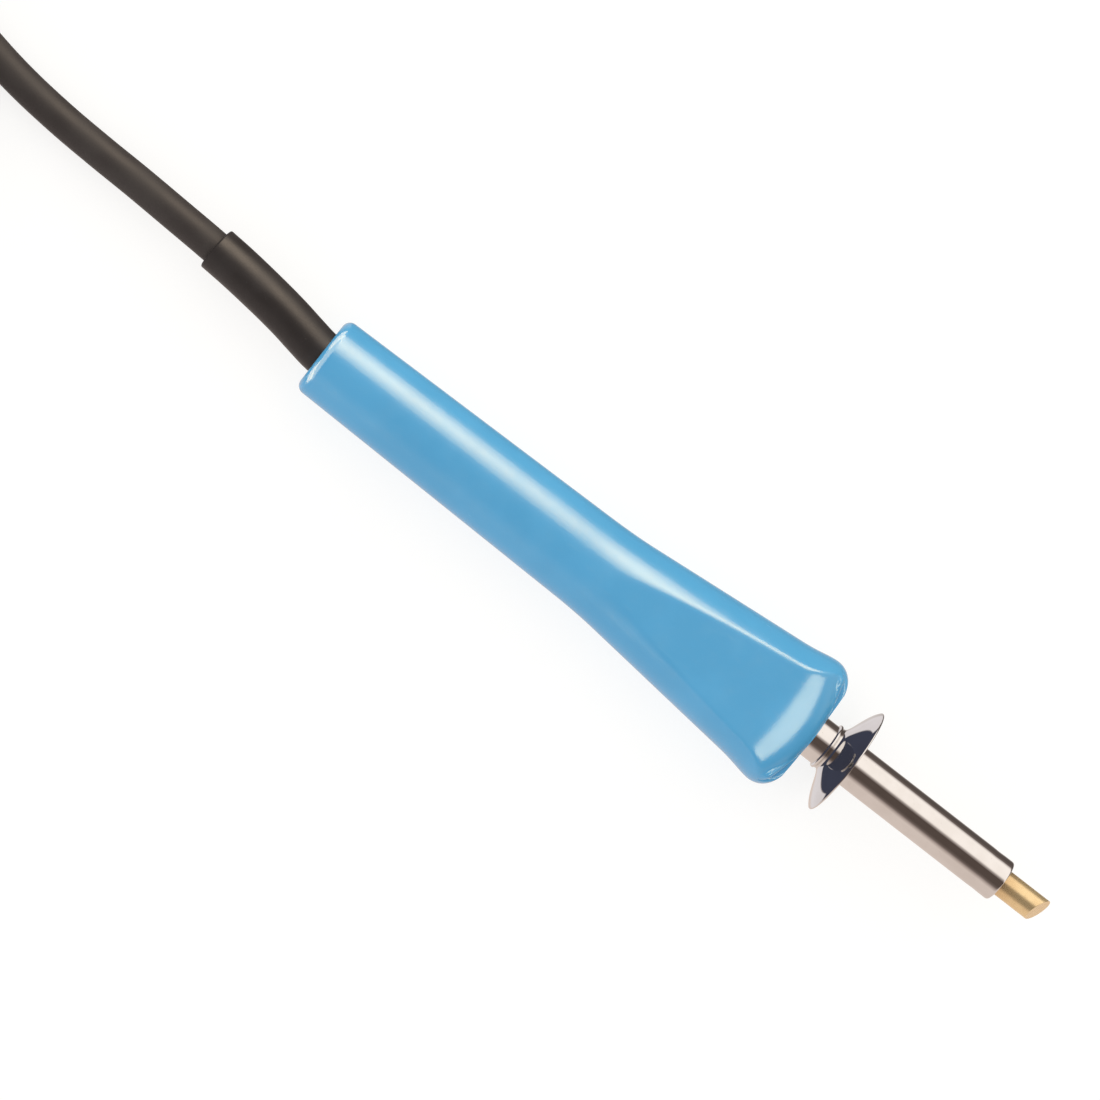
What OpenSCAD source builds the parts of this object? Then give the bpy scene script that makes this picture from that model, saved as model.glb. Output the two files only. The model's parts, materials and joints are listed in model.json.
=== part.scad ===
// Mains soldering iron: a moulded handle that flares and flattens towards the front, a chrome
// barrel with a trumpet heat shield, a wound heater inside and a bevelled plug-in tip.
// It lies on a bench at Z = 0, with the tip towards +X, on its shield's rim and its handle's
// rear edge. The spare cord is put away behind it as a tied hank with the plug on top.
// The iron's own modules are drawn along X from the handle's rear face, then laid on the bench.

/* [Handle] */
// Length of the handle
handle_len = 108; // [107:0.1:109]
// Diameter just in front of the rear edge's rounding
handle_rear_d = 15; // [14.8:0.1:15.2]
// Diameter where the flare begins
handle_waist_d = 16.7; // [16.5:0.1:16.9]
// Largest width, close to the front
handle_bulb_d = 25.8; // [25.4:0.1:26.2]
// Distance between the two flats, above and below
flat_gap = 17.3; // [17.1:0.1:17.5]
// Diameter of the hole for the cord's sleeve
cord_hole_d = 8.3; // [8.3:0.05:8.4]
// Length of that hole
cord_hole_len = 14; // [13.5:0.1:14]
// Diameter of the long bore behind the barrel
bore_d = 11.3; // [11.2:0.1:11.4]

/* [Barrel and heat shield] */
// Diameter of the barrel tube
barrel_d = 8; // [8:0.05:8.05]
// Wall of the barrel tube
barrel_wall = 0.45; // [0.4:0.05:0.45]
// How far the barrel's nose lies in front of the handle's rear face
nose_x = 150.3; // [149.8:0.1:150.6]
// How far back the tube reaches inside the handle
barrel_rear_x = 82; // [81:0.5:82]
// Diameter of the heat shield's rim
shield_d = 21.2; // [21:0.1:21.4]
// Where the heat shield's hub begins
shield_x = 111; // [110.8:0.1:111.2]
// Thickness of the heat shield's sheet
shield_sheet = 0.45; // [0.4:0.05:0.5]

/* [Tip] */
// Diameter of the tip
tip_d = 5; // [4.95:0.05:5]
// Where the bevel crosses the tip's axis
tip_end_x = 158.6; // [158:0.1:159]
// Slope of the bevel from square
tip_bevel = 30; // [20:1:35]
// Which way the bevel faces, from straight up towards -Y
tip_bevel_turn = 33; // [0:1:90]
// Length of the shank behind the bevel's crossing
tip_len = 39.9; // [38:0.1:40]

/* [Cord and plug] */
// Diameter of the cord
cord_d = 6; // [6:0.05:6.05]
// Diameter of the rubber sleeve at its outer end
sleeve_d = 8.15; // [8.1:0.05:8.2]
// Length of the hank's runs, between the centres of its end loops
hank_run = 100; // [96:1:104]
// Length of the plug's moulded body
plug_len = 30; // [28:1:32]
// Width of the plug's body
plug_w = 27; // [26:0.5:28]
// Height of the plug's body
plug_h = 21.5; // [21:0.5:22]

/* [Hidden] */

// Handle outline
rear_round = 1.6;
flare_x = 56;
bulb_x = 104;
front_round = 3.9;
flat_round_x = 99.4;
flat_round_h = 4.05;
face_r = 7.5;

// The iron leans between the shield's rim and the handle's rear edge
rim_x = shield_x + 4.7;
lean = atan((shield_d / 2 - handle_rear_d / 2) / (rim_x - rear_round));
lift = handle_rear_d / 2 * cos(lean) - rear_round * sin(lean);
rear_face_x = -66;
// From the drawing's zero to the middle of the iron, sleeve's end to tip
middle_x = 1.1;

// Inner pieces, stacked outwards from the tip
barrel_r = barrel_d / 2;
bush_r = 5.6;
bush_x = 91.5;
fit_gap = 0.02;
core_bore_r = tip_d / 2 + 0.08;
core_r = 2.8;
mica_inner_r = 2.9;
coil_r = 3.18;
coil_wire_r = 0.13;
mica_outer_r = 3.42;
core_x = [114.5, 147];
coil_x = 116;
coil_turns = 9;
coil_pitch = 3;
insulator_x = [104, 112];
lead_offset = 2;
lead_r = 0.3;
wire_r = 0.95;
jacket_end_x = 26;
splice_x = 45;
groove_x = 121;
groove_r = 2.1;
groove_end_x = shield_x + 2.6;

// Route of the cord from inside the handle, along the bench to the hank
cord_route = [[-40, 0, 8.15], [-45, 0, 8.02], [-51, 0, 7.85], [-56, 0, 7.72], [-61, 0, 7.59],
              [-66, 0.1, 7.45], [-70, 0.7, 7.35], [-74, 1.4, 7.2], [-79, 2.05, 7],
              [-86, 2.75, 6.55], [-91.4, 3.1, 6.07], [-101, 3.5, 5.1], [-109, 3.8, 4.3],
              [-118, 4, 3.6], [-127, 4.4, 3.15], [-137, 5.4, 3], [-147, 7.2, 3],
              [-158, 9.4, 3], [-168, 10.4, 3], [-178, 9.8, 3]];

// Hank: two lanes side by side and two layers, pinched together at the waist
cord_r = cord_d / 2;
hank_near_x = -168;
hank_y = -14;
hank_far_x = hank_near_x - hank_run;
loop_r = 18.5;
waist_lane = 3.2;
lane_step = cord_d;
hank_h = 2 * cord_d;
tie_x = -206;
tie_w = 9;

// Plug, lying on the hank
plug_x = -238;
relief_len = 22;
plug_z = hank_h + plug_h / 2;
blade_len = 17;
end_route = [[-149, -31.4, 15], [-145.5, -26.1, 15], [-143.7, -20, 15], [-143.8, -13.6, 15],
             [-145.7, -7.6, 15], [-149.3, -2.3, 15], [-154.2, 1.6, 15], [-160.2, 3.9, 15],
             [-166.5, 4.4, 15], [-173, 3.9, 15], [-180, 2, 15], [-192, -4.2, 15],
             [-203, -10.2, 15.2], [-214, -13.4, 16.6], [-225, -14, 19.6], [-234, -14, 22],
             [-242, -14, 22.75]];

function unit(v) = v / norm(v);
function arc(centre, r, from, to, steps) =
    [for (i = [0 : steps]) let (a = from + (to - from) * i / steps)
        centre + r * [cos(a), sin(a)]];
function bezier(p, steps) =
    [for (i = [0 : steps]) let (t = i / steps, s = 1 - t)
        s * s * s * p[0] + 3 * s * s * t * p[1] + 3 * s * t * t * p[2] + t * t * t * p[3]];

// One ring of points round station i of a path, with its first direction near normals[i]
function tangent(path, i) =
    unit(path[min(i + 1, len(path) - 1)] - path[max(i - 1, 0)]);
function ring(path, normals, i, r, sides) =
    let (t = tangent(path, i), v = unit(cross(t, normals[i])), u = cross(v, t))
        [for (k = [0 : sides - 1]) let (a = 360 * k / sides)
            path[i] + r * (cos(a) * v + sin(a) * u)];
function band(a, b, sides) =
    [for (k = [0 : sides - 1]) let (n = (k + 1) % sides)
        each [[a + k, a + n, b + n], [a + k, b + n, b + k]]];

// Round solid swept along a path, r as one radius for each station
module swept(path, normals, r, sides) {
    stations = len(path);
    points = [for (i = [0 : stations - 1]) each ring(path, normals, i, r[i], sides)];
    last = (stations - 1) * sides;
    sides_of = [for (i = [0 : stations - 2]) each band(i * sides, (i + 1) * sides, sides)];
    caps = [[for (k = [sides - 1 : -1 : 0]) k], [for (k = [0 : sides - 1]) last + k]];
    polyhedron(concat(points), concat(sides_of, caps));
}

function up(path) = [for (p = path) [0, 0, 1]];
function same(path, r) = [for (p = path) r];

// Turns a shape that is drawn along Z onto the X axis
module along_x(x = 0) {
    translate([x, 0, 0]) rotate([0, 90, 0]) children();
}

// Solid of revolution about the X axis, from points of [x, radius]
module revolved(points) {
    along_x() rotate_extrude($fn = 96) polygon([for (p = points) [p[1], p[0]]]);
}

module pipe(x0, x1, r_out, r_in) {
    revolved([[x0, r_in], [x1, r_in], [x1, r_out], [x0, r_out]]);
}

module rod(x0, x1, r) {
    along_x(x0) cylinder(h = x1 - x0, r = r, $fn = 32);
}

// The two places of the heater's leads, either side of the axis
module at_leads() {
    for (side = [-1, 1]) translate([0, side * lead_offset, 0]) children();
}

// Places the iron on the bench
module laid() {
    translate([rear_face_x, 0, lift]) rotate([0, -lean, 0]) children();
}

// ---- Handle and what holds the barrel ----

module handle_outline() {
    rear_r = handle_rear_d / 2;
    bulb_r = handle_bulb_d / 2;
    slope_end = [97, bulb_r - 1.05];
    revolved(concat(
        [[0, 0]],
        arc([rear_round, rear_r - rear_round], rear_round, 180, 90, 6),
        bezier([[flare_x, handle_waist_d / 2], [61, 8.42], [64, 8.6], [67, 8.91]], 8),
        bezier([slope_end, [100.5, bulb_r - 0.7], [102.2, bulb_r], [bulb_x, bulb_r]], 8),
        arc([bulb_x, bulb_r - front_round], front_round, 82, 12, 8),
        [[handle_len - 0.15, face_r], [handle_len, bush_r], [handle_len, 0]]));
}

// Seen from the side: the flats, and how they round over at the front
module flats_outline() {
    h = flat_gap / 2 - flat_round_h;
    nose = [for (a = [0 : 9 : 90])
        [flat_round_x + (handle_len + 0.1 - flat_round_x) * sin(a), h + flat_round_h * cos(a)]];
    half = concat([[-1, flat_gap / 2]], nose);
    lower = [for (i = [len(half) - 1 : -1 : 0]) [half[i][0], -half[i][1]]];
    rotate([90, 0, 0]) linear_extrude(height = 30, center = true) polygon(concat(half, lower));
}

module handle() {
    color([0.35, 0.66, 0.85]) laid() difference() {
        intersection() {
            handle_outline();
            flats_outline();
        }
        along_x(-1) cylinder(h = cord_hole_len + 2, d = cord_hole_d, $fn = 64);
        along_x(cord_hole_len) cylinder(h = handle_len, d = bore_d, $fn = 64);
        along_x(98.9) cylinder(h = 1.5, d = bore_d + 0.7, $fn = 64);
    }
}

// Heat-resistant bush, snapped into the handle by its rib
module front_bush() {
    color([0.2, 0.17, 0.15]) laid() revolved([
        [bush_x, barrel_r + fit_gap], [107.4, barrel_r + fit_gap], [107.7, barrel_r + 0.3],
        [107.7, bush_r - 0.3], [107.4, bush_r], [100.3, bush_r], [100, bush_r + 0.3],
        [99.3, bush_r + 0.3], [99, bush_r], [bush_x, bush_r]]);
}

module tube_retaining_ring() {
    color("silver") laid() pipe(bush_x - 0.95, bush_x - 0.15, 5.4, barrel_r + fit_gap);
}

// Tube with a rolled groove in front of the shield's hub, which stops the ceramic insulator,
// and a shallow crimp near its nose, which is turned in to guide the tip
module barrel_tube() {
    inner = barrel_r - barrel_wall;
    mouth_r = tip_d / 2 + 0.1;
    color([0.82, 0.8, 0.78]) laid() revolved(concat(
        [[barrel_rear_x, inner], [barrel_rear_x, barrel_r]],
        roll_groove(barrel_r, barrel_r - 0.22), [[nose_x - 4.8, barrel_r]],
        [for (a = [45 : 45 : 315]) [nose_x - 4.8 + 3 * a / 360, barrel_r - 0.04 * (1 - cos(a))]],
        [[nose_x - 1.8, barrel_r - 0.01]],
        arc([nose_x - 0.9, barrel_r - 0.9], 0.9, 90, 0, 6),
        [[nose_x, mouth_r], [nose_x - 0.6, mouth_r], [nose_x - 0.6, inner - 0.5],
         [nose_x - 0.9, inner - 0.15], [nose_x - 1.4, inner - 0.1],
         [nose_x - 4.6, inner - 0.1], [nose_x - 5, inner]],
        [for (i = [3 : -1 : 0]) roll_groove(inner, inner - 0.18)[i]]));
}

function roll_groove(r, low_r) = [[groove_end_x - 0.8, r], [groove_end_x - 0.6, low_r],
                                  [groove_end_x - 0.2, low_r], [groove_end_x, r]];

// Sheet trumpet: a hub that grips the tube, then a curve out to the rim
module heat_shield() {
    rim_r = shield_d / 2;
    back = bezier([[shield_x + 1.2, 4.2], [shield_x + 2.2, 4.5],
                   [shield_x + 2.9, rim_r - 2], [rim_x, rim_r]], 14);
    front = [for (i = [14 : -1 : 0]) back[i] + [shield_sheet, i == 14 ? 0 : -0.05]];
    color([0.82, 0.8, 0.78]) laid() revolved(concat(
        [[shield_x, barrel_r + fit_gap], [shield_x, 4.3]],
        arc([shield_x + 0.5, 4.1], 0.35, 150, 30, 4), back, front,
        [[shield_x + 1.6, barrel_r + fit_gap]]));
}

// ---- Heater ----

module heater_core() {
    color("gainsboro") laid() pipe(core_x[0], core_x[1], core_r, core_bore_r);
}

module mica_inner_wrap() {
    color("tan") laid() pipe(core_x[0] + 0.8, core_x[1] - 0.6, mica_inner_r, core_r + fit_gap);
}

module mica_outer_wrap() {
    color("tan") laid() pipe(coil_x - 0.8, nose_x - 5.3, mica_outer_r, coil_r + coil_wire_r + fit_gap);
}

// Resistance wire wound out to the front, turned back on itself and wound home between the turns
module heating_coil() {
    steps = 12;
    far = 360 * coil_turns;
    start = [[0, 112.3, lead_offset], [0, 113.2, 2.5], [0, 114.1, 3.02], [0, 115.3, coil_r]];
    out = [for (i = [0 : coil_turns * steps]) let (a = 360 * i / steps)
        [a, coil_x + coil_pitch * a / 360, coil_r]];
    turn_back = [[far + 14, coil_x + coil_pitch * (coil_turns + 0.25), coil_r]];
    home = [for (i = [0 : coil_turns * steps + steps / 2]) let (a = far - 360 * i / steps)
        [a, coil_x + coil_pitch * (a / 360 + 0.5), coil_r]];
    end = [for (i = [3 : -1 : 0]) [-180, start[i][1], start[i][2]]];
    route = concat(start, out, turn_back, home, end);
    path = [for (p = route) [p[1], p[2] * cos(p[0]), p[2] * sin(p[0])]];
    radial = [for (p = route) [0, cos(p[0]), sin(p[0])]];
    color("dimgray") laid() swept(path, radial, same(path, coil_wire_r), 6);
}

module front_ceramic_washer() {
    color("ivory") laid() pipe(core_x[1] + 0.1, nose_x - 1, 3.3, tip_d / 2 + 0.15);
}

module rear_ceramic_insulator() {
    color("ivory") laid() difference() {
        rod(insulator_x[0], insulator_x[1], 3.45);
        at_leads() rod(insulator_x[0] - 1, insulator_x[1] + 1, lead_r + 0.1);
    }
}

// ---- Wiring inside the handle and the barrel's rear ----

module heater_leads() {
    color("silver") laid() at_leads() rod(splice_x + 0.1, insulator_x[1] + 0.3, lead_r);
}

module lead_sleeves() {
    color("whitesmoke") laid() at_leads() pipe(53.2, insulator_x[0] - 0.2, 0.8, lead_r + 0.05);
}

module splice_crimps() {
    color("silver") laid() at_leads() revolved([
        [splice_x - 5, wire_r + fit_gap], [splice_x, wire_r + fit_gap], [splice_x, lead_r + fit_gap],
        [splice_x + 5, lead_r + fit_gap], [splice_x + 5, 1.3], [splice_x - 5, 1.3]]);
}

module splice_covers() {
    color("whitesmoke") laid() at_leads() pipe(splice_x - 8, splice_x + 8, 1.6, 1.33);
}

// Clip round the barrel's rear end, with a tab that reaches in to the earth wire
module earth_clip() {
    tab_x = 75.5;
    color("goldenrod") laid() {
        pipe(84, 88, 4.7, barrel_r + fit_gap);
        translate([tab_x, -1.2, -4.7]) cube([9, 2.4, 0.6]);
        translate([tab_x, -1.2, -4.7]) cube([0.6, 2.4, 4]);
    }
}

module earth_crimp() {
    color("silver") laid() translate([0, 0, -lead_offset]) pipe(69, 75.4, 1.5, wire_r + fit_gap);
}

module conductor(y, z, end_x) {
    laid() translate([0, y, z]) rod(jacket_end_x + 0.1, end_x, wire_r);
}

module live_conductor() {
    color("saddlebrown") conductor(lead_offset, 0, splice_x - 0.1);
}

module neutral_conductor() {
    color("royalblue") conductor(-lead_offset, 0, splice_x - 0.1);
}

module earth_conductor() {
    color("limegreen") conductor(0, -lead_offset, 75.3);
}

// Ring crimped on the cord's jacket, which can't pass the sleeve's flange
module cord_clamp() {
    color("silver") laid() pipe(17, 22, 5.3, cord_r + 0.06);
}

// Rubber sleeve round the cord, held in the handle by its flange
module cord_sleeve() {
    path = concat([cord_route[2] + [0.1, 0, 0], [-51.75, 0, 7.84], [-51.9, 0, 7.84]],
                  [for (i = [3 : 10]) cord_route[i]]);
    outer = [5.4, 5.4, 4.1, 4.1, 4.1, 4.08, 4, 3.97, 3.98, 4, 0.5 * sleeve_d];
    longer = concat([path[0] + [0.3, 0, 0]], [for (i = [1 : 9]) path[i]],
                    [path[10] + 0.05 * (path[10] - path[9])]);
    color([0.22, 0.19, 0.18]) difference() {
        swept(path, up(path), outer, 24);
        swept(longer, up(longer), same(longer, cord_r + 0.12), 24);
    }
}

// ---- Tip ----

// Split ring in the shank's groove, which grips the heater's core
module tip_spring_ring() {
    color("silver") laid() difference() {
        pipe(groove_x + 0.05, groove_x + 1.15, core_bore_r - 0.03, groove_r + 0.05);
        translate([groove_x - 1, -0.6, 0]) cube([4, 1.2, 4]);
    }
}

module tip() {
    rear_x = tip_end_x - tip_len;
    color([0.95, 0.78, 0.45]) laid() difference() {
        revolved([[rear_x, 0], [rear_x, tip_d / 2 - 0.4], [rear_x + 0.4, tip_d / 2],
                  [groove_x, tip_d / 2], [groove_x, groove_r], [groove_x + 1.2, groove_r],
                  [groove_x + 1.2, tip_d / 2], [tip_end_x + 4, tip_d / 2], [tip_end_x + 4, 0]]);
        translate([tip_end_x, 0, 0]) rotate([tip_bevel_turn, 0, 0]) rotate([0, -tip_bevel, 0])
            translate([0, -10, -10]) cube([20, 20, 20]);
    }
}

// ---- Cord, hank and plug ----

module cord() {
    color([0.24, 0.22, 0.21]) swept(cord_route, up(cord_route), same(cord_route, cord_r), 12);
}

// How far the outer lane lies from the hank's middle, at a distance from its waist
function outer_lane(d) =
    waist_lane + lane_step + (loop_r - waist_lane) * (1 - cos(360 * d / hank_run)) / 2;

module cord_hank() {
    middle = (hank_near_x + hank_far_x) / 2;
    end_r = loop_r + lane_step + cord_r;
    side = [for (i = [0 : 16]) let (d = hank_run * (i / 16 - 0.5))
        [middle + d, outer_lane(d) + cord_r]];
    near = arc([hank_near_x, 0], end_r, 80, -80, 12);
    far = arc([hank_far_x, 0], end_r, -100, -260, 12);
    back = [for (i = [16 : -1 : 0]) [side[i][0], -side[i][1]]];
    color([0.24, 0.22, 0.21]) translate([0, hank_y, 0])
        linear_extrude(height = hank_h) polygon(concat(side, near, back, far));
}

module cord_end() {
    color([0.24, 0.22, 0.21]) swept(end_route, up(end_route), same(end_route, cord_r), 12);
}

// Strap round the hank beside its waist
module hank_tie() {
    outside = [[-15, 0], [15, 0], [16, 1], [16, 10.5], [14, 13], [6, 19], [-1, 19], [-14, 13],
               [-16, 10.5], [-16, 1]];
    inside = [[-14.6, 1], [14.6, 1], [15, 1.4], [15, 10.2], [13.4, 12.3], [5.6, 18], [-0.6, 18],
              [-13.4, 12.3], [-15, 10.2], [-15, 1.4]];
    color([0.1, 0.1, 0.1]) translate([tie_x - tie_w / 2, hank_y, 0]) rotate([90, 0, 90])
        linear_extrude(height = tie_w) difference() {
            polygon(outside);
            polygon(inside);
        }
}

// Places the plug: its own X runs from the relief's cord end to the blades
module plugged() {
    translate([plug_x, hank_y, plug_z]) rotate([0, 0, 180]) children();
}

module blade_pair(extra) {
    for (side = [-1, 1])
        translate([relief_len + 8, -5.1, side * 6.35 - 0.75 - extra])
            cube([plug_len - 8 + blade_len, 6.35, 1.5 + 2 * extra]);
}

module plug_body() {
    round_r = 4;
    plan = [[relief_len, 6], [relief_len + 6, plug_w / 2 - 1], [relief_len + 9, plug_w / 2],
            [relief_len + plug_len, plug_w / 2]];
    plan_back = [for (i = [3 : -1 : 0]) [plan[i][0], -plan[i][1]]];
    elevation = [[relief_len, 6], [relief_len + 6, plug_h / 2 - 1], [relief_len + 9, plug_h / 2],
                 [relief_len + plug_len, plug_h / 2]];
    elevation_back = [for (i = [3 : -1 : 0]) [elevation[i][0], -elevation[i][1]]];
    color([0.13, 0.13, 0.13]) plugged() difference() {
        union() {
            revolved([[0, cord_r + 0.05], [0, 4.2], [relief_len + 2, 6], [relief_len + 2, cord_r + 0.05]]);
            intersection() {
                linear_extrude(height = 40, center = true) polygon(concat(plan, plan_back));
                rotate([90, 0, 0]) linear_extrude(height = 40, center = true)
                    polygon(concat(elevation, elevation_back));
            }
        }
        translate([relief_len + 5, -8.5, -8.5]) cube([12, 17, 17]);
        rod(-1, relief_len + 6, cord_r + 0.05);
        blade_pair(0.05);
        translate([0, 6.4, 0]) rod(relief_len + 8, relief_len + plug_len + 1, 2.45);
    }
}

// Inner moulding that holds the blades and the pin
module plug_bridge() {
    color("ivory") plugged() difference() {
        translate([relief_len + 9, -8.4, -8.4]) cube([7.9, 16.8, 16.8]);
        blade_pair(0.05);
        translate([0, 6.4, 0]) rod(relief_len + 8, relief_len + plug_len + 1, 2.45);
    }
}

module plug_blades() {
    color("gold") plugged() blade_pair(0);
}

module plug_earth_pin() {
    color("gold") plugged() translate([0, 6.4, 0]) union() {
        rod(relief_len + 8, relief_len + plug_len + blade_len - 1, 2.4);
        translate([relief_len + plug_len + blade_len - 1, 0, 0]) sphere(r = 2.4, $fn = 32);
    }
}

translate([-middle_x, 0, 0]) {
    handle();
    front_bush();
    tube_retaining_ring();
    barrel_tube();
    heat_shield();
    heater_core();
    mica_inner_wrap();
    heating_coil();
    mica_outer_wrap();
    front_ceramic_washer();
    rear_ceramic_insulator();
    heater_leads();
    lead_sleeves();
    splice_crimps();
    splice_covers();
    earth_clip();
    earth_crimp();
    live_conductor();
    neutral_conductor();
    earth_conductor();
    cord_clamp();
    cord_sleeve();
    tip_spring_ring();
    tip();
    cord();
    cord_hank();
    cord_end();
    hank_tie();
    plug_body();
    plug_bridge();
    plug_blades();
    plug_earth_pin();
}
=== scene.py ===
"""A pencil-shaped soldering iron, lying on a pale table with its spare cord put away behind it."""

import json
from math import atan, cos, pi, radians, sin, sqrt, tan

import bmesh
import bpy
from mathutils import Matrix, Vector


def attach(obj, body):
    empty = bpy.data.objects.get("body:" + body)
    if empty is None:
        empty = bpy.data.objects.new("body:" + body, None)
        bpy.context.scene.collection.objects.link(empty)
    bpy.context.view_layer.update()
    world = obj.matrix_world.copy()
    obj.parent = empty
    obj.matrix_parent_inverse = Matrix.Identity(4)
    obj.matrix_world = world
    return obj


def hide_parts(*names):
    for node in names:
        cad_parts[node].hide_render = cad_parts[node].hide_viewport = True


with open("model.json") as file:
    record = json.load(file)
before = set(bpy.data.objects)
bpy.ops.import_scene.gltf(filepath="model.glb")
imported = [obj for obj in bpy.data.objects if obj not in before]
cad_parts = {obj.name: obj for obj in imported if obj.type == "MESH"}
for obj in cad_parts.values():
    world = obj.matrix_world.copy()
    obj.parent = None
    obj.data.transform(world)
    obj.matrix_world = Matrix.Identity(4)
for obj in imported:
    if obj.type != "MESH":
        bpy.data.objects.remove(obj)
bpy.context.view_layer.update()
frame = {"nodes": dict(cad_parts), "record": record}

MM = 0.001

# ---- Places: the iron's own frame, in millimetres along its axis from the handle's rear face,
# and the row frame, in which the cord's route is drawn with its zero MIDDLE_X behind the origin ----

MIDDLE_X = 1.1
REAR_X = -66 - MIDDLE_X
REAR_R, REAR_ROUND = 7.5, 1.6
RIM_R, RIM_X = 10.6, 115.7
LEAN = atan((RIM_R - REAR_R) / (RIM_X - REAR_ROUND))
LIFT = REAR_R * cos(LEAN) - REAR_ROUND * sin(LEAN)
AXIS = Vector((cos(LEAN), 0, sin(LEAN)))
UP = Vector((-sin(LEAN), 0, cos(LEAN)))
IRON = (Matrix.Translation((REAR_X * MM, 0, LIFT * MM)) @ Matrix.Rotation(-LEAN, 4, "Y")
        @ Matrix.Scale(MM, 4))
ROW = Matrix.Translation((-MIDDLE_X * MM, 0, 0)) @ Matrix.Scale(MM, 4)


# ---- Camera ----

CAMERA_HEIGHT = 770
CAMERA_X, CAMERA_SIDE = -0.15, -2.64
TARGET_X = 52.15
CAMERA_ROLL = radians(37.87)
FOCAL = 145.5


def add_camera():
    place = IRON @ Vector((CAMERA_X, CAMERA_SIDE, CAMERA_HEIGHT))
    target = IRON @ Vector((TARGET_X, CAMERA_SIDE, 0))
    forward = (target - place).normalized()
    along = (AXIS - AXIS.dot(forward) * forward).normalized()
    across = along.cross(forward)
    right = cos(CAMERA_ROLL) * along + sin(CAMERA_ROLL) * across
    top = cos(CAMERA_ROLL) * across - sin(CAMERA_ROLL) * along
    data = bpy.data.cameras.new("camera")
    data.lens, data.sensor_width = FOCAL, 36
    data.clip_start, data.clip_end = 0.01, 20
    camera = bpy.data.objects.new("camera", data)
    camera.matrix_world = Matrix.Translation(place) @ Matrix(
        (right, top, -forward)).transposed().to_4x4()
    bpy.context.collection.objects.link(camera)
    bpy.context.scene.camera = camera


# ---- Cord ----

CORD_R = 3
CORD_ROUTE = [(-40, 0, 8.15), (-45, 0, 8.02), (-51, 0, 7.85), (-56, 0, 7.72), (-61, 0, 7.59),
              (-66, 0.1, 7.45), (-70, 0.7, 7.35), (-74, 1.4, 7.2), (-79, 2.05, 7),
              (-86, 2.75, 6.55), (-91.4, 3.1, 6.07), (-101, 3.5, 5.1), (-109, 3.8, 4.3),
              (-118, 4, 3.6), (-127, 4.4, 3.15), (-137, 5.4, 3), (-147, 7.2, 3),
              (-158, 9.3, 3), (-168, 10.2, 3)]
END_ROUTE = [(-149, -31.4, 15), (-145.5, -26.1, 15), (-143.7, -20, 15), (-143.8, -13.6, 15),
             (-145.7, -7.6, 15), (-149.3, -2.3, 15), (-154.2, 1.6, 15), (-160.2, 3.9, 15),
             (-166.5, 4.4, 15), (-173, 3.9, 15), (-180, 2, 15), (-192, -4.2, 15),
             (-203, -10.2, 15.2), (-214, -13.4, 16.6), (-225, -14, 19.6), (-234, -14, 22),
             (-242, -14, 22.75)]
HANK_NEAR, HANK_FAR, HANK_Y = -168, -268, -14
# Half widths of the inner and the outer strands at the end loops and at the waist
INNER = (18.5, 3.2)
OUTER = (24.2, 9.6)
# Radius of the near end loops that join an outer strand to an inner one
FOLD_R = 21.5
LOW, HIGH, TOP = 3, 9, 15


def ease(t):
    t = min(max(t, 0), 1)
    return t * t * (3 - 2 * t)


def hank_run(side, lane, x0, x1, z=LOW, rise=None, steps=14):
    """One strand between the hank's end loops: wide at its ends, drawn in at the waist."""
    middle, length = (HANK_NEAR + HANK_FAR) / 2, HANK_NEAR - HANK_FAR
    points = []
    for i in range(steps + 1):
        x = x0 + (x1 - x0) * i / steps
        out = lane[1] + (lane[0] - lane[1]) * (1 - cos(2 * pi * (x - middle) / length)) / 2
        up = (rise[0] - z) * ease((x - rise[1]) / (rise[2] - rise[1])) if rise else 0
        points.append((x, HANK_Y + side * out, z + up))
    return points


def hank_loop(x, y, r, start, end, z, rise=0, steps=12):
    """An end loop of the hank, between two angles, that may rise from one layer to the next."""
    points = []
    for i in range(steps + 1):
        a = radians(start + (end - start) * i / steps)
        points.append((x + r * cos(a), HANK_Y + y + r * sin(a), z + rise * ease(i / steps)))
    return points


def cord_points():
    """Out of the handle, along the table, four times round the hank and up to the plug."""
    near, far, fold_x = HANK_NEAR, HANK_FAR + 2, HANK_NEAR - 3
    points = list(CORD_ROUTE)
    points += hank_run(1, OUTER, near - 7, far)
    points += hank_loop(HANK_FAR, 0, OUTER[0], 97, 263, LOW)
    points += hank_run(-1, OUTER, far, fold_x)
    points += hank_loop(near + 3, -3, FOLD_R, -85, 85, LOW)
    points += hank_run(1, INNER, fold_x, far)
    points += hank_loop(HANK_FAR, 0, INNER[0], 97, 263, LOW)
    points += hank_run(-1, INNER, far, near - 4)
    points += hank_loop(near, 0, INNER[0], -88, 88, LOW, HIGH - LOW)
    points += hank_run(1, INNER, near - 4, far, HIGH)
    points += hank_loop(HANK_FAR, 0, INNER[0], 97, 263, HIGH)
    points += hank_run(-1, INNER, far, fold_x, HIGH)
    points += hank_loop(near + 3, 3, FOLD_R, -85, 85, HIGH)
    points += hank_run(1, OUTER, fold_x, far, HIGH)
    points += hank_loop(HANK_FAR, 0, OUTER[0], 97, 263, HIGH)
    points += hank_run(-1, OUTER, far, fold_x, HIGH, (TOP, near - 50, near - 4))
    points += hank_loop(near + 3, -3, FOLD_R, -85, -55, TOP, steps=2)
    return points + END_ROUTE


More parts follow.
